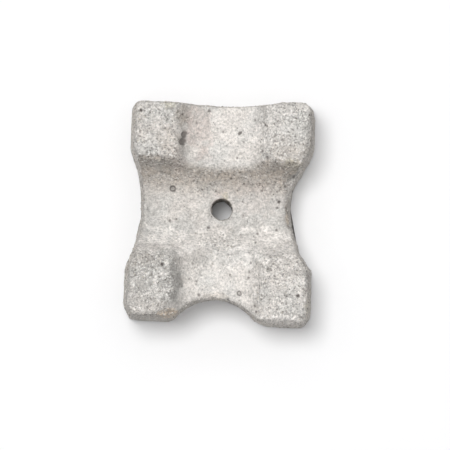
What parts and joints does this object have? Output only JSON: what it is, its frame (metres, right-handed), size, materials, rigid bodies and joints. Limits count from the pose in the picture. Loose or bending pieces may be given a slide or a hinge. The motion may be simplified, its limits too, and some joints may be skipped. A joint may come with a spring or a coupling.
{
  "type": "concrete bar spacer",
  "caption": "Cast concrete spacer block with raised corner posts, a deep trough and a shallower cross saddle for reinforcing bars, hollowed sides and a tie-wire hole through the middle.",
  "frame": {"origin": "middle of the flat back, at the bottom of the block", "axes": "+Z from the flat back to the posts, +Y along the saddle towards the shallowest side hollow, +X along the trough"},
  "size_m": [0.0438, 0.0526, 0.03],
  "materials": {
    "concrete": "rough cast concrete"
  },
  "bodies": {
    "root": {"spacer_block": "concrete"}
  },
  "joints": []
}
